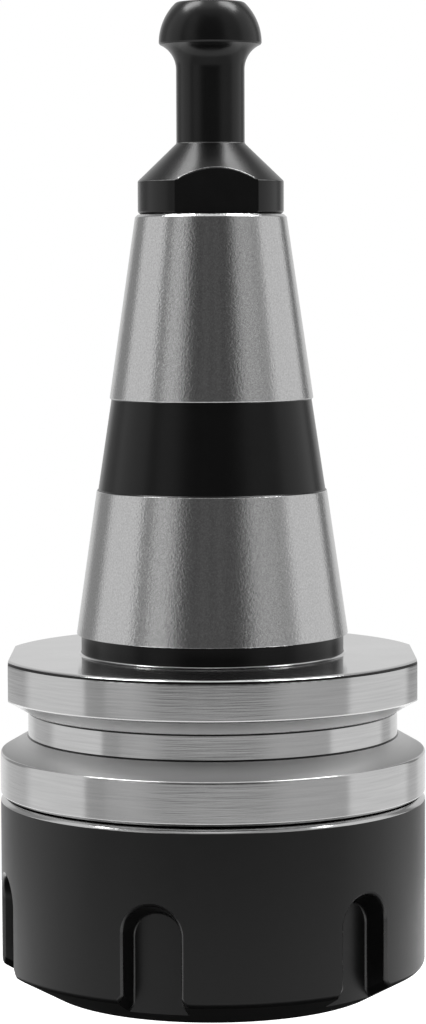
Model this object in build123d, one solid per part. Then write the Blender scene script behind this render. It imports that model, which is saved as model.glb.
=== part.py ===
"""Collet chuck holder with a size 30 steep taper, a slotted spring collet and a six slot nut.

The part stands on its nut with the taper shank upwards. Its origin is the centre of the
gauge plane, the level at which the taper measures the gauge diameter. +Z runs up through
the taper to the pull stud, and -Y is the side that the photograph shows.
"""
from build123d import *
from math import asin, degrees, radians, sqrt, tan
import os

# Spring collet, size 32, for a 12 mm shank
collet_length = 40.0
collet_max_diameter = 33.0
collet_gauge_step = 0.5
collet_half_angle = 8
collet_nose_angle = 30
collet_nose_length = 3.0
collet_head_length = 5.5
collet_groove_width = 3.6
collet_groove_depth = 1.9
collet_groove_flank = 0.5
collet_bore_diameter = 12.0
collet_grip_length = 28.0
collet_relief_diameter = 13.5
collet_bore_chamfer = 0.5
collet_back_chamfer = 0.6
collet_slits = 8
slit_width = 0.9
front_slit_bridge = 4.0
back_slit_bridge = 4.6
collet_recess = 0.5
collet_cone_clearance = 0.08

# Nose with its male thread, M40 x 1.5, turned plain at the thread's outer diameter
nose_wall = 3.5
thread_diameter = collet_max_diameter + 2 * nose_wall
thread_clearance = 0.06
thread_relief_width = 2.0
thread_relief_depth = 1.1
nose_end_gap = 0.15
nose_chamfer = 0.7

# Clamping nut
nut_gap = 0.25
nut_wall = 5.0
nut_diameter = thread_diameter + 2 * nut_wall
nut_length = 23.1
nut_top_chamfer = 0.5
nut_front_step = 5.6
nut_front_angle = 28.8
nut_edge_radius = 0.8
nut_entry_chamfer = 0.6
nut_relief_depth = 0.6
nut_relief_width = 1.8
nut_cone_clearance = 0.12
nut_mouth_chamfer = 0.3
lip_thickness = 2.0
lip_land_gap = 0.35
lip_offset = 1.1
lip_turn = 30

# Spanner slots round the nut, milled with a tapered cutter that leans towards the front face
slot_count = 6
slot_turn = -16.2
slot_depth = 2.8
slot_floor_width = 5.86
slot_top_drop = 10.0
slot_draft = 9.8
slot_lean = 15.6
slot_bevel = 0.34
slot_mouth_flare = 0.65
slot_mouth_height = 1.0

# V flange, as wide as the nut, measured down from the gauge plane, with two flats on its upper rim
flange_face_drop = 2.8
flange_diameter = nut_diameter
lower_flange_chamfer = 0.3
upper_flange_chamfer = 0.6
flange_flat_depth = 1.4
groove_depth = 3.275
groove_floor_drop = 9.35
groove_floor_width = 2.95
groove_flank_angle = 30
flange_bottom_drop = 19.1
flange_edge_break = 0.2

# Taper shank, size 30, 7 in 24 on the diameter
gauge_diameter = 31.75
taper_slope_share = 7 / 48
taper_length = 48.4
taper_below_gauge = 0.4
taper_edge_break = 0.3
relief_band_top = 27.0
relief_band_bottom = 16.5
relief_band_depth = 0.2
undercut_depth = 0.475
undercut_fillet = 0.4

# Bores of the shank behind the collet
socket_spare = 2.75
socket_mouth_chamfer = 0.3
tool_relief_step = 0.6
tool_relief_length = 8.0
drill_point_angle = 118

# Pull stud, M12 with a 13 mm pilot, screwed into the small end
small_end_wall = 2.3
stud_seat_clearance = 0.03
stud_pilot_step = 0.5
stud_thread_depth = 0.92
stud_thread_length = 15.5
stud_thread_spare = 4.0
stud_pilot_length = 4.5
stud_pilot_spare = 0.5
stud_end_chamfer = 1.0
collar_step = 0.32
collar_height = 3.8
collar_bevel = 0.3
collar_flat_depth = 1.5
flats_turn = 5.5
collar_cone_angle = 45
neck_diameter = 7.95
flare_start = 16.85
flare_radius = 3.1
knob_diameter = 11.94
knob_lip_height = 0.2
knob_lip_step = 0.12
dome_radius = 6.4
dome_height = 4.7
stud_top_break = 0.25

# Shared by every cut that has to run past a surface
overrun = 2.0

# How near, as a share of the radius, an edge lies to the surface that it is looked up on
edge_search_share = 0.001

# Direction of the photographed side, in degrees from +X
view_side = -90

# Radii and levels worked out from the sizes above
taper_radius = gauge_diameter / 2
small_end_radius = taper_radius - taper_length * taper_slope_share
seat_radius = small_end_radius - small_end_wall
collar_radius = small_end_radius - collar_step
collet_head_radius = collet_max_diameter / 2
nut_top = -flange_bottom_drop - nut_gap
nut_front = nut_top - nut_length
collet_front = nut_front + collet_recess
collet_groove_back = collet_front + collet_head_length + collet_groove_width
collet_back = collet_front + collet_length
nose_end = collet_groove_back + nose_end_gap
slot_floor_radius = nut_diameter / 2 - slot_depth
nut_front_radius = nut_diameter / 2 - nut_front_step


def radius_on_taper(z):
    """Radius of the steep taper at a level above the gauge plane."""
    return taper_radius - z * taper_slope_share


def radius_on_collet_cone(z):
    """Radius of the collet's long cone, which is the gauge radius at the back of its groove."""
    gauge_radius = collet_head_radius - collet_gauge_step
    return gauge_radius - (z - collet_groove_back) * tan(radians(collet_half_angle))


def turned(points):
    """Solid of revolution about Z from a closed outline of (radius, level) points."""
    outline = Plane.XZ * make_face(Polyline(*points, close=True))
    return revolve(outline, Axis.Z)


def edges_at(solid, radius, level):
    """Full circular edges of one radius at one level."""
    near = radius * edge_search_share
    rings = solid.edges().filter_by(GeomType.CIRCLE)
    return [
        ring for ring in rings
        if abs(ring.radius - radius) < near and abs(ring.center().Z - level) < near
    ]


def holder_outside():
    """Outline of the shank, flange and nose, from the small end down to the nose."""
    break_level = taper_length - taper_edge_break
    undercut_radius = taper_radius - undercut_depth
    flange_radius = flange_diameter / 2
    floor_radius = flange_radius - groove_depth
    nose_radius = thread_diameter / 2
    relief_radius = nose_radius - thread_relief_depth
    flank_share = tan(radians(groove_flank_angle))
    floor_bottom = -groove_floor_drop - groove_floor_width
    upper_edge = -groove_floor_drop + groove_depth * flank_share
    lower_edge = floor_bottom - groove_depth * flank_share
    relief_end = -flange_bottom_drop - thread_relief_width
    return [
        (radius_on_taper(taper_length) - taper_edge_break, taper_length),
        (radius_on_taper(break_level), break_level),
        (radius_on_taper(relief_band_top), relief_band_top),
        (radius_on_taper(relief_band_top) - relief_band_depth, relief_band_top - relief_band_depth),
        (radius_on_taper(relief_band_bottom) - relief_band_depth, relief_band_bottom + relief_band_depth),
        (radius_on_taper(relief_band_bottom), relief_band_bottom),
        (radius_on_taper(-taper_below_gauge), -taper_below_gauge),
        (undercut_radius, -taper_below_gauge),
        (undercut_radius, -flange_face_drop),
        (flange_radius - upper_flange_chamfer, -flange_face_drop),
        (flange_radius, -flange_face_drop - upper_flange_chamfer),
        (flange_radius, upper_edge + flange_edge_break),
        (flange_radius - flange_edge_break, upper_edge - flange_edge_break * flank_share),
        (floor_radius, -groove_floor_drop),
        (floor_radius, floor_bottom),
        (flange_radius - flange_edge_break, lower_edge + flange_edge_break * flank_share),
        (flange_radius, lower_edge - flange_edge_break),
        (flange_radius, -flange_bottom_drop + lower_flange_chamfer),
        (flange_radius - lower_flange_chamfer, -flange_bottom_drop),
        (relief_radius, -flange_bottom_drop),
        (relief_radius, relief_end + thread_relief_depth),
        (nose_radius, relief_end),
        (nose_radius, nose_end + nose_chamfer),
        (nose_radius - nose_chamfer, nose_end),
    ]


def holder_inside():
    """Outline of the collet socket, tool relief, core drilling and stud seat, from the nose up."""
    mouth = radius_on_collet_cone(nose_end) + collet_cone_clearance
    socket_top = collet_back + socket_spare
    top = radius_on_collet_cone(socket_top) + collet_cone_clearance
    relief = top - tool_relief_step
    relief_top = socket_top + tool_relief_length
    pilot = seat_radius
    thread = pilot - stud_pilot_step
    core = thread - stud_thread_depth
    point_height = (relief - core) / tan(radians(drill_point_angle / 2))
    pilot_floor = taper_length - stud_pilot_length - stud_pilot_spare
    thread_floor = pilot_floor - stud_thread_length - stud_thread_spare
    return [
        (mouth + socket_mouth_chamfer, nose_end),
        (mouth, nose_end + socket_mouth_chamfer),
        (top, socket_top),
        (relief, socket_top),
        (relief, relief_top),
        (core, relief_top + point_height),
        (core, thread_floor),
        (thread, thread_floor),
        (thread, pilot_floor),
        (pilot, pilot_floor),
        (pilot, taper_length),
    ]


def flange_flat_cuts():
    """Two blocks that mill the flats on the upper rim, left and right of the photographed side."""
    middle = -groove_floor_drop - groove_floor_width / 2
    height = overrun - flange_face_drop - middle
    at_flat = flange_diameter / 2 - flange_flat_depth
    block = Box(
        flange_flat_depth + overrun, flange_diameter, height,
        align=(Align.MIN, Align.CENTER, Align.MIN),
    )
    return [
        Rot(0, 0, view_side + side) * Pos(at_flat, 0, middle) * block
        for side in (90, 270)
    ]


def holder_body():
    """The one turned and ground piece: taper shank, V flange, threaded nose and collet socket."""
    body = turned(holder_outside() + holder_inside())
    corner = edges_at(body, taper_radius - undercut_depth, -flange_face_drop)
    return fillet(corner, undercut_fillet) - flange_flat_cuts()


def stud_outline():
    """Half section of the pull stud as one closed wire in radius and level."""
    seat = taper_length
    collar = collar_radius
    neck = neck_diameter / 2
    knob = knob_diameter / 2
    pilot = seat_radius - stud_seat_clearance
    thread = pilot - stud_pilot_step
    shank_end = seat - stud_pilot_length - stud_thread_length
    cone_foot = seat + collar_height
    cone_top = cone_foot + (collar - neck) * tan(radians(collar_cone_angle))
    flare_foot = (neck, seat + flare_start)
    flare_run = knob - knob_lip_step - neck
    flare_angle = degrees(asin(sqrt(1 - (1 - flare_run / flare_radius) ** 2)))
    flare = JernArc(flare_foot, (0, 1), flare_radius, -flare_angle)
    lip = (knob, (flare @ 1).Y + knob_lip_height)
    top = lip[1] + dome_height
    dome_angle = degrees(asin(dome_height / dome_radius))
    dome = JernArc(lip, (0, 1), dome_radius, dome_angle)
    below = Polyline(
        (0, shank_end),
        (thread - stud_end_chamfer, shank_end),
        (thread, shank_end + stud_end_chamfer),
        (thread, seat - stud_pilot_length),
        (pilot, seat - stud_pilot_length),
        (pilot, seat),
        (collar - collar_bevel, seat),
        (collar, seat + collar_bevel),
        (collar, cone_foot),
        (neck, cone_top),
        flare_foot,
    )
    crown = Polyline(dome @ 1, (0, top), (0, shank_end))
    return below + flare + Line(flare @ 1, lip) + dome + crown


def pull_stud():
    """Pull stud screwed into the small end, with two spanner flats on its collar."""
    stud = revolve(Plane.XZ * make_face(stud_outline()), Axis.Z)
    top_rim = stud.edges().filter_by(GeomType.CIRCLE).sort_by(Axis.Z)[-1]
    stud = fillet(top_rim, stud_top_break)
    cone_height = (collar_radius - neck_diameter / 2) * tan(radians(collar_cone_angle))
    width = 2 * collar_radius + overrun
    height = collar_height + cone_height
    waste = Box(width, width, height, align=(Align.MIN, Align.CENTER, Align.MIN))
    waste = Pos(collar_radius - collar_flat_depth, 0, taper_length) * waste
    for side in (0, 180):
        stud -= Rot(0, 0, view_side + flats_turn + side) * waste
    return stud


def slit(direction, low, high):
    """Radial saw cut through the collet's wall between two levels."""
    reach = collet_max_diameter
    blade = Box(reach, slit_width, high - low, align=(Align.MIN, Align.CENTER, Align.MIN))
    return Rot(0, 0, direction) * Pos(0, 0, low) * blade


def spring_collet():
    """Spring collet: long cone, nose cone, extraction groove, and slits cut from both ends."""
    nose_share = tan(radians(collet_nose_angle))
    head_radius = collet_head_radius
    groove_radius = head_radius - collet_groove_depth
    bore = collet_bore_diameter / 2
    relief = collet_relief_diameter / 2
    front = collet_front
    head_back = front + collet_head_length
    grip_end = front + collet_grip_length
    collet = turned([
        (bore + collet_bore_chamfer, front),
        (head_radius - collet_nose_length * nose_share, front),
        (head_radius, front + collet_nose_length),
        (head_radius, head_back),
        (groove_radius, head_back + collet_groove_flank),
        (groove_radius, collet_groove_back - collet_groove_flank),
        (radius_on_collet_cone(collet_groove_back), collet_groove_back),
        (radius_on_collet_cone(collet_back - collet_back_chamfer), collet_back - collet_back_chamfer),
        (radius_on_collet_cone(collet_back) - collet_back_chamfer, collet_back),
        (relief, collet_back),
        (relief, grip_end + relief - bore),
        (bore, grip_end),
        (bore, front + collet_bore_chamfer),
    ])
    pitch_angle = 360 / collet_slits
    for index in range(collet_slits):
        front_turn = view_side + index * pitch_angle
        back_turn = front_turn + pitch_angle / 2
        collet -= slit(front_turn, front - overrun, collet_back - front_slit_bridge)
        collet -= slit(back_turn, front + back_slit_bridge, collet_back + overrun)
    return collet


def nut_blank():
    """Outside of the nut: rim, rounded front edge and front cone, before the slots."""
    radius = nut_diameter / 2
    front_radius = nut_front_radius
    shoulder = nut_front + (radius - front_radius) * tan(radians(nut_front_angle))
    blank = turned([
        (0, nut_top),
        (radius - nut_top_chamfer, nut_top),
        (radius, nut_top - nut_top_chamfer),
        (radius, shoulder),
        (front_radius, nut_front),
        (0, nut_front),
    ])
    return fillet(edges_at(blank, radius, shoulder), nut_edge_radius)


def slot_section(radius):
    """Rounded slot outline, square to the spoke, at one distance from the axis."""
    depth = radius - slot_floor_radius
    half = slot_floor_width / 2 + depth * tan(radians(slot_draft))
    centre = nut_top - slot_top_drop - slot_floor_width / 2 + depth * tan(radians(slot_lean))
    low = nut_front - overrun
    plane = Plane(origin=(radius, 0, 0), x_dir=(0, 1, 0), z_dir=(1, 0, 0))
    sides = Polyline((-half, centre), (-half, low), (half, low), (half, centre))
    arch = ThreePointArc((half, centre), (0, centre + half), (-half, centre))
    return plane * make_face(sides + arch)


def slot_mouth_section(radius):
    """Flared outline of a slot's open end, which follows the nut's front cone."""
    depth = radius - slot_floor_radius
    half = slot_floor_width / 2 + depth * tan(radians(slot_draft))
    cone_share = tan(radians(nut_front_angle))
    cone = nut_front + (radius - nut_front_radius) * cone_share
    spread = half + slot_mouth_flare * (slot_mouth_height + overrun) / slot_mouth_height
    plane = Plane(origin=(radius, 0, 0), x_dir=(0, 1, 0), z_dir=(1, 0, 0))
    outline = Polyline(
        (-half, cone + slot_mouth_height),
        (-spread, cone - overrun),
        (spread, cone - overrun),
        (half, cone + slot_mouth_height),
        close=True,
    )
    return plane * make_face(outline)


def nut_slot(section):
    """One slot cutter that stops at the slot's round floor."""
    floor = slot_floor_radius
    inner = floor - overrun / 2
    outer = nut_diameter / 2 + overrun / 2
    cutter = loft([section(inner), section(outer)])
    height = nut_length + 2 * overrun
    core = Pos(0, 0, nut_front - overrun) * Cylinder(
        floor, height, align=(Align.CENTER, Align.CENTER, Align.MIN)
    )
    return cutter - core


def slotted_rim():
    """Plain ring of the nut's outer diameter with six slots and their bevelled edges."""
    radius = nut_diameter / 2
    height = nut_length + 2 * overrun
    rim = Pos(0, 0, nut_front - 2 * overrun) * Cylinder(
        radius, height, align=(Align.CENTER, Align.CENTER, Align.MIN)
    )
    cutter = nut_slot(slot_section)
    turns = [view_side + slot_turn + index * 360 / slot_count for index in range(slot_count)]
    for turn in turns:
        rim -= Rot(0, 0, turn) * cutter
    outline = [
        edge for edge in rim.edges()
        if on_rim(edge, radius) and edge.center().Z > nut_front - 2 * overrun + slot_bevel
    ]
    rim = chamfer(outline, slot_bevel)
    mouth = nut_slot(slot_mouth_section)
    for turn in turns:
        rim -= Rot(0, 0, turn) * mouth
    return rim


def on_rim(edge, radius):
    """True for a slot's edge on the outer diameter, and not for the ring's own end circles."""
    middle = edge @ 0.5
    distance = sqrt(middle.X ** 2 + middle.Y ** 2)
    level_change = abs((edge @ 0).Z - (edge @ 1).Z) + abs((edge @ 0).Z - middle.Z)
    return abs(distance - radius) < radius * edge_search_share and level_change > slot_bevel


def nut_inside():
    """Space inside the nut: thread, thread relief and the cone that presses on the collet."""
    nose_share = tan(radians(collet_nose_angle))
    thread = thread_diameter / 2 + thread_clearance
    relief = thread + nut_relief_depth
    head = collet_head_radius + nut_cone_clearance
    lip_back = lip_front_level() + lip_thickness
    relief_start = lip_back + nut_relief_width
    cone_start = collet_front + collet_nose_length
    front_radius = head - (cone_start - nut_front) * nose_share
    return turned([
        (0, nut_top + overrun),
        (thread + nut_entry_chamfer, nut_top + overrun),
        (thread + nut_entry_chamfer, nut_top),
        (thread, nut_top - nut_entry_chamfer),
        (thread, relief_start + nut_relief_depth),
        (relief, relief_start),
        (relief, lip_back),
        (head, lip_back),
        (head, cone_start),
        (front_radius + nut_mouth_chamfer * nose_share, nut_front + nut_mouth_chamfer),
        (front_radius + nut_mouth_chamfer, nut_front),
        (front_radius + nut_mouth_chamfer, nut_front - overrun),
        (0, nut_front - overrun),
    ])


def lip_front_level():
    """Level of the lip's front, just behind the back of the collet's head."""
    return collet_front + collet_head_length + lip_land_gap


def lip_disc(radius, offset):
    """Disc as thick as the extraction lip, its centre moved sideways by an offset."""
    disc = Cylinder(radius, lip_thickness, align=(Align.CENTER, Align.CENTER, Align.MIN))
    return Rot(0, 0, lip_turn) * Pos(offset, 0, lip_front_level()) * disc


def clamping_nut():
    """Clamping nut with six bevelled spanner slots, M40 thread, front cone and extraction lip."""
    head = collet_head_radius + nut_cone_clearance
    nut = nut_blank() & slotted_rim()
    nut = nut - nut_inside()
    opening = lip_disc(head, lip_offset)
    return nut + lip_disc(head + overrun, 0) - opening


os.makedirs("parts", exist_ok=True)
export_step(holder_body(), "parts/holder_body.step")
export_step(pull_stud(), "parts/pull_stud.step")
export_step(spring_collet(), "parts/spring_collet.step")
export_step(clamping_nut(), "parts/clamping_nut.step")
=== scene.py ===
"""Looks of the collet chuck holder: a ground and turned steel holder body, a black pull stud, a
black slotted nut and a spring collet.

Lengths among the named values are millimetres, and MM turns them into Blender's metres. The
origin is the centre of the gauge plane, +Z runs up the taper, and -Y is the photographed side.
"""
import math

import bmesh
import bpy
from mathutils import Euler, Matrix, Vector


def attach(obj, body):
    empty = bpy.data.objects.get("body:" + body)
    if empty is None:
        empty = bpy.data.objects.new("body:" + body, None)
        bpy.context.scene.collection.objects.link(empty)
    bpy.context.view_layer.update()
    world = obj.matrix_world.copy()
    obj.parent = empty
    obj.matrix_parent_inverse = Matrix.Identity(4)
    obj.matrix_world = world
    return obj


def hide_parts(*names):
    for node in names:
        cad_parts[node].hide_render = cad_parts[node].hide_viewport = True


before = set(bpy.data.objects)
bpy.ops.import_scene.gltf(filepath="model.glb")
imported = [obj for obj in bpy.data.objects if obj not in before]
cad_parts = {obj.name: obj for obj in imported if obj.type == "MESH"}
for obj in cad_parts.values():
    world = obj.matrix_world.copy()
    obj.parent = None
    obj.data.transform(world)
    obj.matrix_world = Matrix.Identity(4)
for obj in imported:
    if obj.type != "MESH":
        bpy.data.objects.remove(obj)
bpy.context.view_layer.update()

MM = 0.001
FULL_TURN = 2 * math.pi
FRONT_TURN = -90             # degrees from +X to the photographed side

# Smoothness of the pieces: steps of a full turn, an arc or an arch, segments of a round
TURN_STEPS = 240
FLARE_STEPS = 10
DOME_STEPS = 16
SLOT_ARCH_STEPS = 28
FLOOR_STEPS = 96
EDGE_SEGMENTS = 3
UPPER_ROUND_SEGMENTS = 6
FLAT_ROUND_SEGMENTS = 2
NUT_EDGE_SEGMENTS = 5
SHARP_ANGLE = math.radians(32)
NORMAL_WEIGHT = 80
MERGE_DISTANCE = 0.0005
FLAT_CORNERS = TURN_STEPS / 8
UPRIGHT_SLOPE = 0.5

# Taper shank
GAUGE_RADIUS = 15.875
TAPER_SLOPE = 7 / 48
TAPER_LENGTH = 48.52
TAPER_BELOW_GAUGE = 0.4
TAPER_BREAK = 0.3
BAND_TOP = 27.2
BAND_BOTTOM = 16.36
BAND_DEPTH = 0.2
UNDERCUT_RADIUS = 15.4
UNDERCUT_FILLET = 0.4

# Flange
FLANGE_FACE = -2.8
FLANGE_RADIUS = 25.0
UPPER_ROUND = 0.6
# Angles on the upper rim's round between which it is black, as painted shade
UPPER_ROUND_PAINTED_SHADE = (math.radians(15), math.radians(45))
FLANGE_FLAT_DEPTH = 1.4
FLANGE_FLATS_TURN = 90
GROOVE_RADIUS = 21.725
GROOVE_TOP = -9.35
GROOVE_BOTTOM = -12.3
GROOVE_ROOTS = (GROOVE_TOP, GROOVE_BOTTOM)
GROOVE_SHARE = math.tan(math.radians(30))
LOWER_CHAMFER = 0.3
FLANGE_BOTTOM = -19.1
EDGE_ROUND = 0.2
FINE_ROUND = 0.07
ROOT_ROUND = 0.14

# Nose and its thread
NOSE_RADIUS = 20.0
NOSE_RELIEF_DEPTH = 1.1
NOSE_RELIEF_WIDTH = 2.0
NOSE_END = -32.7
NOSE_CHAMFER = 0.7
THREAD_PITCH = 1.5
THREAD_DEPTH = 0.92
THREAD_CREST = 0.19
THREAD_ROOT = 0.28
THREAD_SINK = 0.06
THREAD_STEPS = 120

# Bores
MOUTH_RADIUS = 16.06
SOCKET_CHAMFER = 0.3
SOCKET_TOP = 0.8
SOCKET_TOP_RADIUS = 11.35
TOOL_RELIEF_STEP = 0.6
TOOL_RELIEF_TOP = 8.8
DRILL_POINT_SHARE = math.tan(math.radians(59))
SEAT_RADIUS = 6.5167
SEAT_FLOOR = 43.4
STUD_HOLE_RADIUS = 6.0167
STUD_HOLE_FLOOR = 23.9
CORE_RADIUS = 5.0967

# Pull stud
STUD_END = 28.4
STUD_PILOT_TOP = 43.9
STUD_CLEARANCE = 0.03
STUD_END_CHAMFER = 1
COLLAR_RADIUS = 8.4967
COLLAR_TOP = 52.36
NECK_FOOT = 56.72
COLLAR_BEVEL = 0.3
COLLAR_BEVEL_ROUND = 0.12
COLLAR_EDGE_ROUND = 0.1
NECK_FOOT_ROUND = 0.15
FLAT_DISTANCE = 6.9967
FLATS_TURN = 5.5
FLAT_ROUND = 0.11
STUD_WEAR = 0.07
NECK_RADIUS = 3.975
FLARE_START = 65.25
FLARE_RADIUS = 3.1
KNOB_RADIUS = 5.97
KNOB_LIP_STEP = 0.12
KNOB_LIP_HEIGHT = 0.2
DOME_RADIUS = 6.4
DOME_HEIGHT = 4.7
DOME_EDGE_ROUND = 0.25

# Clamping nut
NUT_TOP = -19.35
NUT_LENGTH = 23.1
NUT_RADIUS = 25.0
NUT_CHAMFER = 0.5
NUT_FRONT_RADIUS = 19.4
NUT_FRONT_SHARE = math.tan(math.radians(28.8))
NUT_EDGE_ROUND = 0.5
NUT_FRONT_ROUND = 0.25
NUT_CHAMFER_ROUND = 0.08
NUT_CHAMFER_MARGIN = 0.02
NUT_CHAMFER_REACH = 0.1
NUT_THREAD_RADIUS = 20.06
NUT_ENTRY_CHAMFER = 0.6
NUT_RELIEF_DEPTH = 0.6
NUT_RELIEF_WIDTH = 1.8
HEAD_HOLE_RADIUS = 16.62
LIP_FRONT = -36.1
LIP_THICKNESS = 2.0
LIP_OFFSET = 1.1
LIP_TURN = 30
LIP_OVERCUT = 0.01
CONE_START = -38.95
CONE_SHARE = math.tan(math.radians(30))
MOUTH_CHAMFER = 0.3

# Spanner slots of the nut
SLOT_COUNT = 6
SLOT_TURN = -106.2
SLOT_FLOOR_RADIUS = 22.2
SLOT_FLOOR_WIDTH = 5.86
SLOT_TOP_DROP = 10.0
SLOT_DRAFT_SHARE = math.tan(math.radians(9.8))
SLOT_LEAN_SHARE = math.tan(math.radians(15.6))
SLOT_EDGE_ROUND = 0.4
SLOT_EDGE_STEPS = 4
SLOT_EDGE_END = math.radians(66)
SLOT_FILLET = 0.28
SLOT_FILLET_STEPS = 4
SLOT_MOUTH_FLARE = 0.65
SLOT_MOUTH_HEIGHT = 1.0
OVERRUN = 2.0


# Node helpers
NOISE_ROUGHNESS = 0.6
GLOSS_ROTATION = 0.25        # share of a turn


def new_material(name):
    """Empty node material with its output and its Principled shader."""
    material = bpy.data.materials.new(name)
    material.use_nodes = True
    tree = material.node_tree
    tree.nodes.clear()
    output = tree.nodes.new("ShaderNodeOutputMaterial")
    shader = tree.nodes.new("ShaderNodeBsdfPrincipled")
    tree.links.new(shader.outputs["BSDF"], output.inputs["Surface"])
    return material, tree, shader


def object_noise(tree, scale, detail, stretch=(1, 1, 1)):
    """Noise on Object coordinates, in cycles to the millimetre, with a stretch for each axis."""
    place = tree.nodes.new("ShaderNodeTexCoord")
    mapping = tree.nodes.new("ShaderNodeMapping")
    mapping.inputs["Scale"].default_value = [part / MM for part in stretch]
    noise = tree.nodes.new("ShaderNodeTexNoise")
    noise.inputs["Scale"].default_value = scale
    noise.inputs["Detail"].default_value = detail
    noise.inputs["Roughness"].default_value = NOISE_ROUGHNESS
    tree.links.new(place.outputs["Object"], mapping.inputs["Vector"])
    tree.links.new(mapping.outputs["Vector"], noise.inputs["Vector"])
    return noise.outputs["Fac"]


def spread(tree, value, low, high):
    """Value from 0 to 1 stretched to run from low to high."""
    node = tree.nodes.new("ShaderNodeMapRange")
    node.inputs["To Min"].default_value = low
    node.inputs["To Max"].default_value = high
    tree.links.new(value, node.inputs["Value"])
    return node.outputs["Result"]


def grey_between(tree, value, dark, light):
    """Neutral colour that runs from the dark grey at 0 to the light one at 1."""
    ramp = tree.nodes.new("ShaderNodeValToRGB")
    ramp.color_ramp.elements[0].color = (dark, dark, dark, 1)
    ramp.color_ramp.elements[1].color = (light, light, light, 1)
    tree.links.new(value, ramp.inputs["Fac"])
    return ramp.outputs["Color"]


def share_outwards(tree, inner, outer, least=0.0):
    """Share that grows from least to 1 between two distances from the axis, in millimetres."""
    place = tree.nodes.new("ShaderNodeTexCoord")
    flat = tree.nodes.new("ShaderNodeVectorMath")
    flat.operation = "MULTIPLY"
    flat.inputs[1].default_value = (1, 1, 0)
    tree.links.new(place.outputs["Object"], flat.inputs[0])
    distance = tree.nodes.new("ShaderNodeVectorMath")
    distance.operation = "LENGTH"
    tree.links.new(flat.outputs["Vector"], distance.inputs[0])
    share = tree.nodes.new("ShaderNodeMapRange")
    share.inputs["From Min"].default_value = inner * MM
    share.inputs["From Max"].default_value = outer * MM
    share.inputs["To Min"].default_value = least
    tree.links.new(distance.outputs["Value"], share.inputs["Value"])
    return share.outputs["Result"]


def turned_tangent(tree, shader, amount):
    """Marks round the axis: the gloss stays narrow round the part and spreads up and down."""
    tangent = tree.nodes.new("ShaderNodeTangent")
    tangent.direction_type = "RADIAL"
    tangent.axis = "Z"
    shader.inputs["Anisotropic"].default_value = amount
    shader.inputs["Anisotropic Rotation"].default_value = GLOSS_ROTATION
    tree.links.new(tangent.outputs["Tangent"], shader.inputs["Tangent"])


def bumped(tree, shader, height, strength, distance):
    """Height fed to the shader's normal as bump, distance in millimetres."""
    bump = tree.nodes.new("ShaderNodeBump")
    bump.inputs["Strength"].default_value = strength
    bump.inputs["Distance"].default_value = distance * MM
    tree.links.new(height, bump.inputs["Height"])
    tree.links.new(bump.outputs["Normal"], shader.inputs["Normal"])


# Finishes
def ground_taper_steel():
    """Ground and lapped steel of the taper, with a fine grain."""
    material, tree, shader = new_material("ground_taper_steel")
    shader.inputs["Metallic"].default_value = 1.0
    grain = object_noise(tree, scale=3.4, detail=2.0)
    sparkle = object_noise(tree, scale=4.8, detail=1.0)
    shade = object_noise(tree, scale=0.35, stretch=(1, 1, 0.4), detail=2.0)
    tree.links.new(grey_between(tree, sparkle, dark=0.35, light=0.55), shader.inputs["Base Color"])
    tree.links.new(spread(tree, shade, low=0.12, high=0.17), shader.inputs["Roughness"])
    turned_tangent(tree, shader, amount=0.7)
    bumped(tree, shader, grain, strength=0.85, distance=0.03)
    return material


def turned_flange_steel():
    """Fine turned steel of the flange, with tool marks round it."""
    material, tree, shader = new_material("turned_flange_steel")
    shader.inputs["Metallic"].default_value = 1.0
    marks = object_noise(tree, scale=1.0, stretch=(0.12, 0.12, 3.6), detail=2.0)
    shade = object_noise(tree, scale=0.3, detail=2.0)
    tree.links.new(grey_between(tree, marks, dark=0.42, light=0.56), shader.inputs["Base Color"])
    tree.links.new(spread(tree, shade, low=0.12, high=0.16), shader.inputs["Roughness"])
    turned_tangent(tree, shader, amount=0.6)
    bumped(tree, shader, marks, strength=0.35, distance=0.03)
    return material


def flank_steel_with_painted_light(name, painted_greys, roughness):
    """Rougher turned steel of a flank of the V groove, with painted light: its grey runs from
    the inner grey to the outer one the way the light on that flank falls.
    """
    material, tree, shader = new_material(name)
    shader.inputs["Metallic"].default_value = 1.0
    marks = object_noise(tree, scale=1.0, stretch=(0.1, 0.1, 4.0), detail=2.0)
    across = share_outwards(tree, GROOVE_RADIUS, FLANGE_RADIUS)
    # Painted light and shade: the grey changes with the distance from the axis.
    tree.links.new(grey_between(tree, across, *painted_greys), shader.inputs["Base Color"])
    tree.links.new(spread(tree, marks, *roughness), shader.inputs["Roughness"])
    bumped(tree, shader, marks, strength=0.1, distance=0.01)
    return material


def plain_turned_steel():
    """Turned steel of the nose, the bores and the thread."""
    material, tree, shader = new_material("plain_turned_steel")
    shader.inputs["Metallic"].default_value = 1.0
    marks = object_noise(tree, scale=1.2, stretch=(0.2, 0.2, 6), detail=2.0)
    tree.links.new(grey_between(tree, marks, dark=0.40, light=0.47), shader.inputs["Base Color"])
    tree.links.new(spread(tree, marks, low=0.24, high=0.34), shader.inputs["Roughness"])
    bumped(tree, shader, marks, strength=0.25, distance=0.02)
    return material


def black_oxide(name, roughness, gloss_index):
    """Glossy blackened steel: a thin dark skin with the gloss of oiled oxide."""
    material, tree, shader = new_material(name)
    shader.inputs["Metallic"].default_value = 0.0
    shader.inputs["IOR"].default_value = gloss_index
    cloud = object_noise(tree, scale=0.5, detail=3.0)
    grain = object_noise(tree, scale=2.6, detail=2.0)
    grey = grey_between(tree, cloud, dark=0.0035, light=0.006)
    tree.links.new(grey, shader.inputs["Base Color"])
    tree.links.new(spread(tree, cloud, *roughness), shader.inputs["Roughness"])
    bumped(tree, shader, grain, strength=0.1, distance=0.01)
    return material


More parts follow.
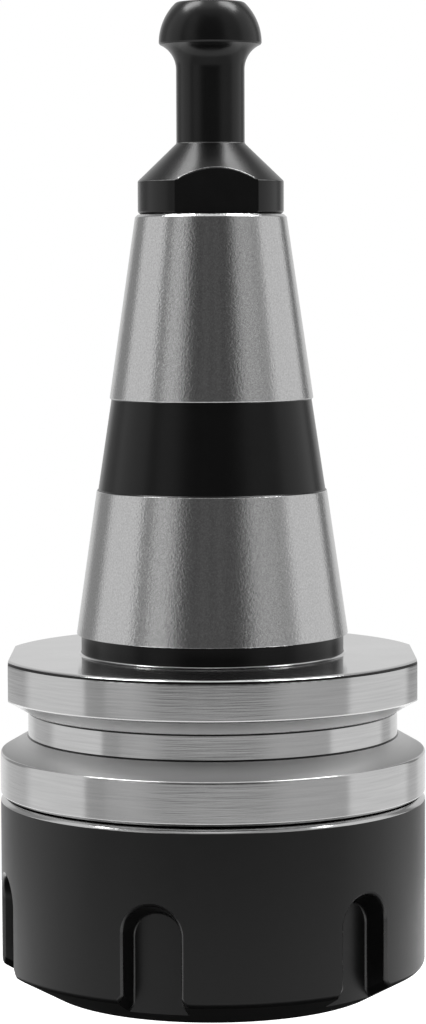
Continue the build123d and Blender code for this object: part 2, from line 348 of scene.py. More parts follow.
def worn_edge():
    """Bare steel that shows where the oxide has rubbed off an edge."""
    material, tree, shader = new_material("worn_edge")
    shader.inputs["Metallic"].default_value = 1.0
    wear = object_noise(tree, scale=1.4, detail=2.0)
    tree.links.new(grey_between(tree, wear, dark=0.05, light=0.34), shader.inputs["Base Color"])
    tree.links.new(spread(tree, wear, low=0.34, high=0.24), shader.inputs["Roughness"])
    return material


def spring_steel():
    """Ground spring steel of the collet."""
    material, tree, shader = new_material("ground_spring_steel")
    shader.inputs["Metallic"].default_value = 1.0
    marks = object_noise(tree, scale=1.6, stretch=(0.3, 0.3, 4), detail=3.0)
    tree.links.new(grey_between(tree, marks, dark=0.44, light=0.52), shader.inputs["Base Color"])
    tree.links.new(spread(tree, marks, low=0.18, high=0.27), shader.inputs["Roughness"])
    bumped(tree, shader, marks, strength=0.2, distance=0.02)
    return material


TAPER_FINISH = ground_taper_steel()
FLANGE_FINISH = turned_flange_steel()
# Painted light: a lighter upper flank, and a lower flank darkening outwards as painted shade
UPPER_FLANK_PAINTED_LIGHT = flank_steel_with_painted_light(
    "upper_flank_steel_painted_light", painted_greys=(0.70, 0.74), roughness=(0.26, 0.34),
)
LOWER_FLANK_PAINTED_SHADE = flank_steel_with_painted_light(
    "lower_flank_steel_painted_shade", painted_greys=(0.52, 0.25), roughness=(0.34, 0.42),
)
NOSE_FINISH = plain_turned_steel()
BAND_FINISH = black_oxide("blackened_relief", roughness=(0.20, 0.26), gloss_index=1.30)
STUD_FINISH = black_oxide("black_oxide_stud", roughness=(0.20, 0.27), gloss_index=1.34)
WORN_FINISH = worn_edge()
NUT_FINISH = black_oxide("black_oxide_nut", roughness=(0.32, 0.38), gloss_index=1.335)
RUBBED_FINISH = black_oxide("rubbed_oxide_edge", roughness=(0.24, 0.30), gloss_index=1.52)
COLLET_FINISH = spring_steel()

# Finishes of each piece, in the order of its material slots
HOLDER_FINISHES = (
    TAPER_FINISH, BAND_FINISH, FLANGE_FINISH, NOSE_FINISH, UPPER_FLANK_PAINTED_LIGHT, LOWER_FLANK_PAINTED_SHADE,
)
STUD_FINISHES = (STUD_FINISH, WORN_FINISH)
NUT_FINISHES = (NUT_FINISH, FLANGE_FINISH, RUBBED_FINISH)


# Mesh helpers
def open_line(points):
    """Bmesh with one open line through (radius, level) points, on the X side of the axis."""
    bm = bmesh.new()
    corners = [bm.verts.new((radius * MM, 0, level * MM)) for radius, level in points]
    for first, second in zip(corners, corners[1:]):
        bm.edges.new((first, second))
    return bm, corners


def closed_line(points):
    """Bmesh with one closed line through (radius, level) points."""
    bm, corners = open_line(points)
    bm.edges.new((corners[-1], corners[0]))
    return bm, corners


def round_corners(bm, corners, radius, segments=EDGE_SEGMENTS):
    """Rounds corners of a line, each offset by a radius in millimetres."""
    bmesh.ops.bevel(
        bm, geom=corners, offset=radius * MM, offset_type="OFFSET", segments=segments,
        profile=0.5, affect="VERTICES", material=-1,
    )


def spin_round(bm):
    """Turns the line in a bmesh once round the Z axis into a closed skin that faces outwards."""
    bmesh.ops.spin(
        bm, geom=bm.verts[:] + bm.edges[:], cent=(0, 0, 0), axis=(0, 0, 1), dvec=(0, 0, 0),
        angle=FULL_TURN, steps=TURN_STEPS, use_merge=True, use_duplicate=False,
    )
    bmesh.ops.remove_doubles(bm, verts=bm.verts[:], dist=MERGE_DISTANCE * MM)
    bmesh.ops.recalc_face_normals(bm, faces=bm.faces[:])


def finish_faces(bm, finishes, finish_of):
    """Gives each face the place, among a piece's finishes, of the finish for its centre."""
    for face in bm.faces:
        face.material_index = finishes.index(finish_of(face.calc_center_median()))


def new_piece(name, bm, *finishes):
    """Object at the origin from a bmesh, which is freed, with its finishes."""
    mesh = bpy.data.meshes.new(name)
    bm.to_mesh(mesh)
    bm.free()
    for finish in finishes:
        mesh.materials.append(finish)
    piece = bpy.data.objects.new(name, mesh)
    bpy.context.scene.collection.objects.link(piece)
    return piece


def settle(piece):
    """Applies a piece's modifiers to its mesh."""
    graph = bpy.context.evaluated_depsgraph_get()
    finished = bpy.data.meshes.new_from_object(piece.evaluated_get(graph), depsgraph=graph)
    piece.modifiers.clear()
    old = piece.data
    piece.data = finished
    bpy.data.meshes.remove(old)


def smooth_shaded(piece):
    """Smooth shading that breaks at sharp edges and keeps broad faces flat beside small rounds."""
    mesh = piece.data
    mesh.polygons.foreach_set("use_smooth", [True] * len(mesh.polygons))
    mesh.set_sharp_from_angle(angle=SHARP_ANGLE)
    weighted = piece.modifiers.new("weighted", "WEIGHTED_NORMAL")
    weighted.keep_sharp = True
    weighted.weight = NORMAL_WEIGHT
    settle(piece)


def cut(piece, cutter):
    """Takes a cutter out of a piece, and removes the cutter."""
    boolean = piece.modifiers.new("cut", "BOOLEAN")
    boolean.operation = "DIFFERENCE"
    boolean.solver = "EXACT"
    boolean.object = cutter
    bpy.context.view_layer.update()
    settle(piece)
    bpy.data.objects.remove(cutter)


def radius_of(point):
    """Distance of a point from the axis, in millimetres."""
    return math.hypot(point.x, point.y) / MM


def taper_radius(level):
    """Radius of the steep taper at a level."""
    return GAUGE_RADIUS - level * TAPER_SLOPE


def plane_flats(bm, distance, turn, low):
    """Planes two opposite flats on a turned skin above a level, and closes each with one face."""
    lowest = low * MM
    for side in (0, 180):
        direction = math.radians(turn + FRONT_TURN + side)
        normal = Vector((math.cos(direction), math.sin(direction), 0))
        above = [face for face in bm.faces if face.calc_center_median().z > lowest]
        near = {vert for face in above for vert in face.verts}
        edges = {edge for face in above for edge in face.edges}
        bmesh.ops.bisect_plane(
            bm, geom=list(near) + list(edges) + above, dist=MERGE_DISTANCE * MM,
            plane_co=normal * distance * MM, plane_no=normal, clear_outer=True,
        )
        rim = [edge for edge in bm.edges if edge.is_boundary]
        bmesh.ops.edgeloop_fill(bm, edges=rim)
    bmesh.ops.recalc_face_normals(bm, faces=bm.faces[:])


# Holder body
def holder_line():
    """Outline of the holder body as (radius, level) points: its outside, then its bores."""
    upper_edge = GROOVE_TOP + (FLANGE_RADIUS - GROOVE_RADIUS) * GROOVE_SHARE
    lower_edge = GROOVE_BOTTOM - (FLANGE_RADIUS - GROOVE_RADIUS) * GROOVE_SHARE
    break_level = TAPER_LENGTH - TAPER_BREAK
    core = NOSE_RADIUS - THREAD_DEPTH
    nose_relief = NOSE_RADIUS - NOSE_RELIEF_DEPTH
    relief_end = FLANGE_BOTTOM - NOSE_RELIEF_WIDTH + NOSE_RELIEF_DEPTH
    relief = SOCKET_TOP_RADIUS - TOOL_RELIEF_STEP
    point_level = TOOL_RELIEF_TOP + (relief - CORE_RADIUS) / DRILL_POINT_SHARE
    outside = [
        (taper_radius(TAPER_LENGTH) - TAPER_BREAK, TAPER_LENGTH),
        (taper_radius(break_level), break_level),
        (taper_radius(BAND_TOP), BAND_TOP),
        (taper_radius(BAND_TOP) - BAND_DEPTH, BAND_TOP - BAND_DEPTH),
        (taper_radius(BAND_BOTTOM) - BAND_DEPTH, BAND_BOTTOM + BAND_DEPTH),
        (taper_radius(BAND_BOTTOM), BAND_BOTTOM),
        (taper_radius(-TAPER_BELOW_GAUGE), -TAPER_BELOW_GAUGE),
        (UNDERCUT_RADIUS, -TAPER_BELOW_GAUGE),
        (UNDERCUT_RADIUS, FLANGE_FACE),
        (FLANGE_RADIUS, FLANGE_FACE),
        (FLANGE_RADIUS, upper_edge),
        (GROOVE_RADIUS, GROOVE_TOP),
        (GROOVE_RADIUS, GROOVE_BOTTOM),
        (FLANGE_RADIUS, lower_edge),
        (FLANGE_RADIUS, FLANGE_BOTTOM + LOWER_CHAMFER),
        (FLANGE_RADIUS - LOWER_CHAMFER, FLANGE_BOTTOM),
        (nose_relief, FLANGE_BOTTOM),
        (nose_relief, relief_end),
        (core, relief_end - core + nose_relief),
        (core, NOSE_END),
    ]
    inside = [
        (MOUTH_RADIUS + SOCKET_CHAMFER, NOSE_END),
        (MOUTH_RADIUS, NOSE_END + SOCKET_CHAMFER),
        (SOCKET_TOP_RADIUS, SOCKET_TOP),
        (relief, SOCKET_TOP),
        (relief, TOOL_RELIEF_TOP),
        (CORE_RADIUS, point_level),
        (CORE_RADIUS, STUD_HOLE_FLOOR),
        (STUD_HOLE_RADIUS, STUD_HOLE_FLOOR),
        (STUD_HOLE_RADIUS, SEAT_FLOOR),
        (SEAT_RADIUS, SEAT_FLOOR),
        (SEAT_RADIUS, TAPER_LENGTH),
    ]
    return outside + inside


def holder_finish(centre):
    """Finish of a holder face with this centre.

    The undercut is black too. The rounds at the groove's corners and the middle of the upper
    rim's round are black as painted shade.
    """
    level = centre.z / MM
    radius = radius_of(centre)
    on_taper = radius > taper_radius(level) - 2 * BAND_DEPTH
    if level > -TAPER_BELOW_GAUGE and on_taper:
        in_band = BAND_BOTTOM + FINE_ROUND < level < BAND_TOP - FINE_ROUND
        return BAND_FINISH if in_band else TAPER_FINISH
    if level > FLANGE_FACE + EDGE_ROUND and radius > UNDERCUT_RADIUS - BAND_DEPTH:
        return BAND_FINISH
    # Painted shade: the rounds at the groove's roots take the black finish, a dark line in the
    # corners.
    if any(math.hypot(radius - GROOVE_RADIUS, level - root) < ROOT_ROUND for root in GROOVE_ROOTS):
        return BAND_FINISH
    # Painted shade: a black band across the middle of the upper rim's round.
    rise, reach = level - FLANGE_FACE + UPPER_ROUND, radius - FLANGE_RADIUS + UPPER_ROUND
    painted_shade_from, painted_shade_to = UPPER_ROUND_PAINTED_SHADE
    if painted_shade_from < math.atan2(rise, reach) < painted_shade_to and reach > UPPER_ROUND / 2:
        return BAND_FINISH
    on_flank = GROOVE_RADIUS + ROOT_ROUND / 2 < radius < FLANGE_RADIUS - EDGE_ROUND
    if on_flank and GROOVE_TOP < level < FLANGE_FACE - UPPER_ROUND:
        return UPPER_FLANK_PAINTED_LIGHT
    if on_flank and FLANGE_BOTTOM + LOWER_CHAMFER + EDGE_ROUND < level < GROOVE_BOTTOM:
        return LOWER_FLANK_PAINTED_SHADE
    if level > FLANGE_BOTTOM - EDGE_ROUND and radius > UNDERCUT_RADIUS:
        return FLANGE_FINISH
    return NOSE_FINISH


def make_holder_body():
    """Holder body turned in one go, outside and bores, with small rounds on its edges."""
    bm, corners = closed_line(holder_line())
    taper_edges, flange_edges = corners[1:3] + corners[5:7], corners[14:16]
    undercut, upper_rim, upper_edge, upper_root, lower_root, lower_edge = corners[8:14]
    round_corners(bm, [undercut], UNDERCUT_FILLET)
    round_corners(bm, [upper_rim], UPPER_ROUND, UPPER_ROUND_SEGMENTS)
    round_corners(bm, [upper_edge, lower_edge], EDGE_ROUND)
    round_corners(bm, [upper_root, lower_root], ROOT_ROUND)
    round_corners(bm, taper_edges + flange_edges, FINE_ROUND)
    spin_round(bm)
    groove_middle = (GROOVE_TOP + GROOVE_BOTTOM) / 2
    plane_flats(bm, FLANGE_RADIUS - FLANGE_FLAT_DEPTH, FLANGE_FLATS_TURN, groove_middle)
    finish_faces(bm, HOLDER_FINISHES, holder_finish)
    piece = new_piece("holder_body_finish", bm, *HOLDER_FINISHES)
    smooth_shaded(piece)
    return piece


def make_nose_thread():
    """Right-hand thread of the nose: a ridge wound up its core, closed at both ends."""
    foot = (THREAD_PITCH - THREAD_ROOT) / 2
    crest = THREAD_CREST / 2
    inner = NOSE_RADIUS - THREAD_DEPTH - THREAD_SINK
    low = NOSE_END + NOSE_CHAMFER + crest
    high = FLANGE_BOTTOM - NOSE_RELIEF_WIDTH - crest
    turns = (high - low) / THREAD_PITCH
    steps = round(turns * THREAD_STEPS)
    bm, _ = closed_line([
        (inner, low - foot),
        (NOSE_RADIUS, low - crest),
        (NOSE_RADIUS, low + crest),
        (inner, low + foot),
    ])
    bmesh.ops.spin(
        bm, geom=bm.verts[:] + bm.edges[:], cent=(0, 0, 0), axis=(0, 0, 1),
        dvec=(0, 0, (high - low) / steps * MM), angle=turns * FULL_TURN, steps=steps,
        use_merge=False, use_duplicate=False,
    )
    bmesh.ops.edgeloop_fill(bm, edges=[edge for edge in bm.edges if edge.is_boundary])
    bmesh.ops.recalc_face_normals(bm, faces=bm.faces[:])
    piece = new_piece("nose_thread", bm, NOSE_FINISH)
    smooth_shaded(piece)
    return piece


# Pull stud
def stud_line():
    """Outline of the pull stud from its end up to the centre of its top."""
    thread = STUD_HOLE_RADIUS - STUD_CLEARANCE
    pilot = SEAT_RADIUS - STUD_CLEARANCE
    flare_run = KNOB_RADIUS - KNOB_LIP_STEP - NECK_RADIUS
    flare_angle = math.acos(1 - flare_run / FLARE_RADIUS)
    flare_top = FLARE_START + FLARE_RADIUS * math.sin(flare_angle)
    lip = flare_top + KNOB_LIP_HEIGHT
    dome_angle = math.asin(DOME_HEIGHT / DOME_RADIUS)
    flare = [
        (
            NECK_RADIUS + FLARE_RADIUS * (1 - math.cos(flare_angle * i / FLARE_STEPS)),
            FLARE_START + FLARE_RADIUS * math.sin(flare_angle * i / FLARE_STEPS),
        )
        for i in range(FLARE_STEPS + 1)
    ]
    dome = [
        (
            KNOB_RADIUS - DOME_RADIUS * (1 - math.cos(dome_angle * i / DOME_STEPS)),
            lip + DOME_RADIUS * math.sin(dome_angle * i / DOME_STEPS),
        )
        for i in range(DOME_STEPS + 1)
    ]
    foot = [
        (0, STUD_END),
        (thread - STUD_END_CHAMFER, STUD_END),
        (thread, STUD_END + STUD_END_CHAMFER),
        (thread, STUD_PILOT_TOP),
        (pilot, STUD_PILOT_TOP),
        (pilot, TAPER_LENGTH),
        (COLLAR_RADIUS - COLLAR_BEVEL, TAPER_LENGTH),
        (COLLAR_RADIUS, TAPER_LENGTH + COLLAR_BEVEL),
        (COLLAR_RADIUS, COLLAR_TOP),
        (NECK_RADIUS, NECK_FOOT),
    ]
    return foot, flare, dome, lip + DOME_HEIGHT


def soften_flat_rims(bm):
    """Small round along the arc where each spanner flat runs out on the collar's cone."""
    flats = [
        face for face in bm.faces
        if len(face.verts) > FLAT_CORNERS and abs(face.normal.z) < UPRIGHT_SLOPE
    ]
    arcs = [
        edge for face in flats for edge in face.edges
        if min(vert.co.z for vert in edge.verts) > (COLLAR_TOP + FLAT_ROUND) * MM
    ]
    rounded = bmesh.ops.bevel(
        bm, geom=arcs, offset=FLAT_ROUND * MM, offset_type="OFFSET",
        segments=FLAT_ROUND_SEGMENTS, profile=0.5, affect="EDGES", material=-1,
    )
    for face in rounded["faces"]:
        face.material_index = STUD_FINISHES.index(WORN_FINISH)


def wear_stud_edges(bm):
    """Bare steel on the narrow rounds at the neck's foot and at the collar's top edge."""
    edges = [(NECK_RADIUS, NECK_FOOT), (COLLAR_RADIUS, COLLAR_TOP)]
    for face in bm.faces:
        centre = face.calc_center_median()
        for radius, level in edges:
            if math.hypot(radius_of(centre) - radius, centre.z / MM - level) < STUD_WEAR:
                face.material_index = STUD_FINISHES.index(WORN_FINISH)


def make_pull_stud():
    """Pull stud turned in one go, then its two spanner flats planed off."""
    foot, flare, dome, top = stud_line()
    bm, corners = open_line(foot + flare + dome + [(0, top)])
    bevel_start, bevel_end, collar_edge, neck_foot = corners[6:10]
    dome_edge = corners[len(foot) + len(flare) + len(dome) - 1]
    round_corners(bm, [dome_edge], DOME_EDGE_ROUND)
    round_corners(bm, [collar_edge], COLLAR_EDGE_ROUND)
    round_corners(bm, [neck_foot], NECK_FOOT_ROUND)
    round_corners(bm, [bevel_start, bevel_end], COLLAR_BEVEL_ROUND)
    spin_round(bm)
    plane_flats(bm, FLAT_DISTANCE, FLATS_TURN, STUD_END)
    soften_flat_rims(bm)
    wear_stud_edges(bm)
    piece = new_piece("pull_stud_finish", bm, *STUD_FINISHES)
    smooth_shaded(piece)
    return piece


# Clamping nut
def slot_outline(bm, radius, half, centre, mouth_level, flare):
    """Arch shaped slot outline on a cylinder round the axis: its edges."""
    start = bm.verts.new((0, half * MM, centre * MM))
    arch = bmesh.ops.spin(
        bm, geom=[start], cent=(0, 0, centre * MM), axis=(1, 0, 0), dvec=(0, 0, 0),
        angle=math.pi, steps=SLOT_ARCH_STEPS, use_merge=False, use_duplicate=False,
    )
    low = NUT_TOP - NUT_LENGTH - OVERRUN
    flared = half + flare * (mouth_level - low) / SLOT_MOUTH_HEIGHT
    points = [(half, mouth_level), (flared, low), (-flared, low), (-half, mouth_level)]
    sides = [bm.verts.new((0, y * MM, z * MM)) for y, z in points]
    end = arch["geom_last"][0]
    ring = [start, *sides, end]
    edges = [bm.edges.new(pair) for pair in zip(ring, ring[1:])]
    found = {start, end, *sides}
    todo = [start]
    while todo:
        vertex = todo.pop()
        for edge in vertex.link_edges:
            other = edge.other_vert(vertex)
            edges.append(edge)
            if other not in found:
                found.add(other)
                todo.append(other)
    for vertex in found:
        vertex.co.x = math.sqrt((radius * MM) ** 2 - vertex.co.y ** 2)
    return list(set(edges))


def slot_cutter():
    """One slot cutter, lofted outwards from below the slot's floor, with the slot's rounds.

    It flares at the nut's front. Its walls carry the nut's finish, its rounds the rubbed one.
    """
    bm = bmesh.new()
    stations = []
    for step in range(1, SLOT_FILLET_STEPS + 1):
        angle = math.pi / 2 * step / SLOT_FILLET_STEPS
        stations.append((
            SLOT_FLOOR_RADIUS + SLOT_FILLET * (1 - math.cos(angle)),
            -SLOT_FILLET * (1 - math.sin(angle)),
        ))
    stations.insert(0, (SLOT_FLOOR_RADIUS - OVERRUN / 2, stations[0][1]))
    stations.append((NUT_RADIUS - SLOT_EDGE_ROUND, 0.0))
    for step in range(1, SLOT_EDGE_STEPS + 1):
        angle = SLOT_EDGE_END * step / SLOT_EDGE_STEPS
        stations.append((
            NUT_RADIUS - SLOT_EDGE_ROUND * (1 - math.sin(angle)),
            SLOT_EDGE_ROUND * (1 - math.cos(angle)),
        ))
    slope = math.tan(SLOT_EDGE_END)
    stations.append((NUT_RADIUS + OVERRUN / 2, stations[-1][1] + OVERRUN / 2 * slope / 2))
    loops = []
    for radius, widening in stations:
        depth = radius - SLOT_FLOOR_RADIUS
        half = SLOT_FLOOR_WIDTH / 2 + depth * SLOT_DRAFT_SHARE
        centre = NUT_TOP - SLOT_TOP_DROP - SLOT_FLOOR_WIDTH / 2 + depth * SLOT_LEAN_SHARE
        cone = NUT_TOP - NUT_LENGTH + (radius - NUT_FRONT_RADIUS) * NUT_FRONT_SHARE
        loops.append(slot_outline(
            bm, radius, half + widening, centre, cone + SLOT_MOUTH_HEIGHT, SLOT_MOUTH_FLARE,
        ))
    walls = SLOT_FILLET_STEPS + 1
    for index, (inner, outer) in enumerate(zip(loops, loops[1:])):
        strip = bmesh.ops.bridge_loops(bm, edges=inner + outer)
        finish = NUT_FINISH if index + 1 == walls else RUBBED_FINISH
        for face in strip["faces"]:
            face.material_index = NUT_FINISHES.index(finish)
    bmesh.ops.edgeloop_fill(bm, edges=loops[0])
    bmesh.ops.edgeloop_fill(bm, edges=loops[-1])
    bmesh.ops.recalc_face_normals(bm, faces=bm.faces[:])
    return bm


def drum(name, radius, low, high, steps=TURN_STEPS, offset=(0, 0)):
    """Plain round cutter between two levels."""
    bm = bmesh.new()
    centre = Matrix.Translation((offset[0] * MM, offset[1] * MM, (low + high) / 2 * MM))
    bmesh.ops.create_cone(
        bm, cap_ends=True, cap_tris=False, segments=steps, radius1=radius * MM,
        radius2=radius * MM, depth=(high - low) * MM, matrix=centre,
    )
    return new_piece(name, bm)


def slot_cutters():
    """The six slot cutters with the slots' round floor, as one object."""
    joined = bmesh.new()
    for index in range(SLOT_COUNT):
        bm = slot_cutter()
        turn = Matrix.Rotation(math.radians(SLOT_TURN + 360 / SLOT_COUNT * index), 4, "Z")
        bmesh.ops.transform(bm, matrix=turn, verts=bm.verts[:])
        part = bpy.data.meshes.new("slot")
        bm.to_mesh(part)
        bm.free()
        joined.from_mesh(part)
        bpy.data.meshes.remove(part)
    cutters = new_piece("slot_cutters", joined, *NUT_FINISHES)
    low = NUT_TOP - NUT_LENGTH - 2 * OVERRUN
    cut(cutters, drum("slot_floor", SLOT_FLOOR_RADIUS, low, NUT_TOP + OVERRUN, 2 * TURN_STEPS))
    return cutters


def nut_line():
    """Closed outline of the nut before its slots are milled."""
    front = NUT_TOP - NUT_LENGTH
    shoulder = front + (NUT_RADIUS - NUT_FRONT_RADIUS) * NUT_FRONT_SHARE
    lip_back = LIP_FRONT + LIP_THICKNESS
    relief = NUT_THREAD_RADIUS + NUT_RELIEF_DEPTH
    relief_start = lip_back + NUT_RELIEF_WIDTH
    mouth = HEAD_HOLE_RADIUS - (CONE_START - front) * CONE_SHARE
    opening = HEAD_HOLE_RADIUS - LIP_OFFSET
    return [
        (NUT_THREAD_RADIUS + NUT_ENTRY_CHAMFER, NUT_TOP),
        (NUT_RADIUS - NUT_CHAMFER, NUT_TOP),
        (NUT_RADIUS, NUT_TOP - NUT_CHAMFER),
        (NUT_RADIUS, shoulder),
        (NUT_FRONT_RADIUS, front),
        (mouth + MOUTH_CHAMFER, front),
        (mouth + MOUTH_CHAMFER * CONE_SHARE, front + MOUTH_CHAMFER),
        (HEAD_HOLE_RADIUS, CONE_START),
        (HEAD_HOLE_RADIUS, LIP_FRONT),
        (opening, LIP_FRONT),
        (opening, lip_back),
        (relief, lip_back),
        (relief, relief_start),
        (NUT_THREAD_RADIUS, relief_start + NUT_RELIEF_DEPTH),
        (NUT_THREAD_RADIUS, NUT_TOP - NUT_ENTRY_CHAMFER),
    ]


def nut_finish(centre):
    """Finish of a nut face with this centre: bare steel on the chamfer under the flange."""
    outer = radius_of(centre) > NUT_RADIUS - NUT_CHAMFER - NUT_CHAMFER_REACH
    high = centre.z > (NUT_TOP - NUT_CHAMFER - NUT_CHAMFER_MARGIN) * MM
    return FLANGE_FINISH if outer and high else NUT_FINISH


def make_clamping_nut():
    """Nut turned in one go, with its slots milled and its extraction lip bored off centre."""
    bm, corners = closed_line(nut_line())
    chamfer_start, chamfer_end, shoulder, front_edge = corners[1:5]
    round_corners(bm, [shoulder], NUT_EDGE_ROUND, NUT_EDGE_SEGMENTS)
    round_corners(bm, [front_edge], NUT_FRONT_ROUND)
    round_corners(bm, [chamfer_start, chamfer_end], NUT_CHAMFER_ROUND)
    spin_round(bm)
    finish_faces(bm, NUT_FINISHES, nut_finish)
    nut = new_piece("clamping_nut_finish", bm, *NUT_FINISHES)
    cut(nut, slot_cutters())
    lip_turn = math.radians(LIP_TURN)
    offset = (LIP_OFFSET * math.cos(lip_turn), LIP_OFFSET * math.sin(lip_turn))
    lip_back = LIP_FRONT + LIP_THICKNESS
    low, high = LIP_FRONT - LIP_OVERCUT, lip_back + LIP_OVERCUT
    cut(nut, drum("lip_opening", HEAD_HOLE_RADIUS, low, high, offset=offset))
    smooth_shaded(nut)
    return nut


holder = make_holder_body()
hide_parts("holder_body")
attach(holder, "holder")

nose_thread = make_nose_thread()
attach(nose_thread, "holder")

stud = make_pull_stud()
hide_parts("pull_stud")
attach(stud, "holder")

nut = make_clamping_nut()
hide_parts("clamping_nut")
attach(nut, "nut")

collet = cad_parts["spring_collet"]
collet.material_slots[0].material = COLLET_FINISH


# Studio: surround with softboxes and dark flags drawn in it, pale table, two overhead softboxes
WHITE = 1.0
FLOOR_RADIUS = 0.125
NUT_TRAVEL = 11.25
FLOOR_GAP = 0.3
FLOOR_LEVEL = (NUT_TOP - NUT_LENGTH - NUT_TRAVEL - FLOOR_GAP) * MM
FLOOR_GREY = 0.62
FLOOR_CAMERA_LIFT = 0.80
FLOOR_GLOSS_LIFT = 0.75
# Radii in millimetres of the floor's painted shade under the nut, then its least share
FLOOR_SHADE = (38, 54)
FLOOR_SHADE_LEAST = 0.03
LAMP_HEIGHT = 0.75
LAMP_SIDE = 0.34
LAMP_BACK = 0.095
LAMP_SIZE = (0.22, 0.34)
LAMP_POWER = 2.8
SURROUND_LIGHT = 0.55
FLAG_TOP = math.sin(math.radians(55))

# Brightness of the surround from straight behind the camera round to the back, left then right
SURROUND_LEFT = [
    (0, 0.09), (6, 0.16), (14, 0.12), (26, 0.16), (38, 0.60), (44, 0.76), (58, 0.76), (60, 0.46),
    (71, 0.50), (73, 1.0), (114, 1.0), (122, 0.42), (144, 0.42), (152, 0.8), (180, 0.8),
]
SURROUND_RIGHT = [
    (0, 0.09), (6, 0.16), (14, 0.12), (27, 0.16), (37, 0.50), (43, 0.62), (76, 0.56),
    (79, 1.0), (126, 1.0), (132, 0.30), (142, 0.30), (148, 0.8), (180, 0.8),
]
TABLE_LEFT = [
    (0, 0.66), (30, 0.62), (44, 0.62), (60, 0.54), (71, 0.56), (73, 1.0), (114, 1.0), (122, 0.78),
    (144, 0.78), (152, 0.9), (180, 0.9),
]
TABLE_RIGHT = [
    (0, 0.66), (30, 0.64), (44, 0.62), (76, 0.62), (79, 1.0), (126, 1.0), (132, 0.72), (142, 0.72),
    (148, 0.9), (180, 0.9),
]
TABLE_EDGE = (-math.sin(math.radians(9)), -math.sin(math.radians(5.5)))
ZENITH = 0.46
CROWN_LIGHT = 1.5
CROWN_EDGE = (math.sin(math.radians(70)), math.sin(math.radians(78)))
RIPPLE = 0.8
RIPPLE_WAVES = 30
RIPPLE_FIRST = 15 / 180
RIPPLE_LAST = 66 / 180
RIPPLE_EDGE = (math.sin(math.radians(1)), math.sin(math.radians(6)))


def brightness_ramp(tree, angle, stops):
    """Grey ramp over an angle from 0 to 180 degrees, given as a share from 0 to 1."""
    ramp = tree.nodes.new("ShaderNodeValToRGB")
    points = ramp.color_ramp.elements
    while len(points) > 1:
        points.remove(points[-1])
    points[0].position = 0
    points[0].color = (stops[0][1],) * 3 + (1,)
    for degrees, level in stops[1:]:
        point = points.new(degrees / 180)
        point.color = (level,) * 3 + (1,)
    tree.links.new(angle, ramp.inputs["Fac"])
    return ramp.outputs["Color"]


def math_node(tree, operation, first, second=None):
    """Math node whose inputs are sockets or numbers."""
    node = tree.nodes.new("ShaderNodeMath")
    node.operation = operation
    for socket, value in zip(node.inputs, (first, second)):
        if isinstance(value, bpy.types.NodeSocket):
            tree.links.new(value, socket)
        elif value is not None:
            socket.default_value = value
    return node.outputs["Value"]


def mix_grey(tree, share, first, second):
    """Blend of two colour sockets or greys."""
    node = tree.nodes.new("ShaderNodeMix")
    node.data_type = "RGBA"
    tree.links.new(share, node.inputs["Factor"])
    for name, value in (("A", first), ("B", second)):
        socket = [s for s in node.inputs if s.name == name and s.type == "RGBA"][0]
        if isinstance(value, bpy.types.NodeSocket):
            tree.links.new(value, socket)
        else:
            socket.default_value = (value, value, value, 1)
    return [s for s in node.outputs if s.type == "RGBA"][0]


def step_between(tree, value, edge):
    """Share that runs from 0 to 1 between the two values of an edge."""
    node = tree.nodes.new("ShaderNodeMapRange")
    node.inputs["From Min"].default_value, node.inputs["From Max"].default_value = edge
    tree.links.new(value, node.inputs["Value"])
    return node.outputs["Result"]


def rippled(tree, walls, angle, height):
    """Walls with fine folds in front of the holder, which show a ground face's grain."""
    wave = math_node(tree, "SINE", math_node(tree, "MULTIPLY", angle, RIPPLE_WAVES * FULL_TURN))
    within = math_node(tree, "LESS_THAN", angle, RIPPLE_LAST)
    beyond = math_node(tree, "GREATER_THAN", angle, RIPPLE_FIRST)
    in_front = math_node(tree, "MULTIPLY", within, beyond)
    folded = math_node(tree, "MULTIPLY", step_between(tree, height, RIPPLE_EDGE), in_front)
    folds = math_node(tree, "MULTIPLY", wave, math_node(tree, "MULTIPLY", folded, RIPPLE))
    factor = math_node(tree, "ADD", folds, 1.0)
    scaled = tree.nodes.new("ShaderNodeVectorMath")
    scaled.operation = "SCALE"
    tree.links.new(walls, scaled.inputs["Vector"])
    tree.links.new(factor, scaled.inputs["Scale"])
    return scaled.outputs["Vector"]


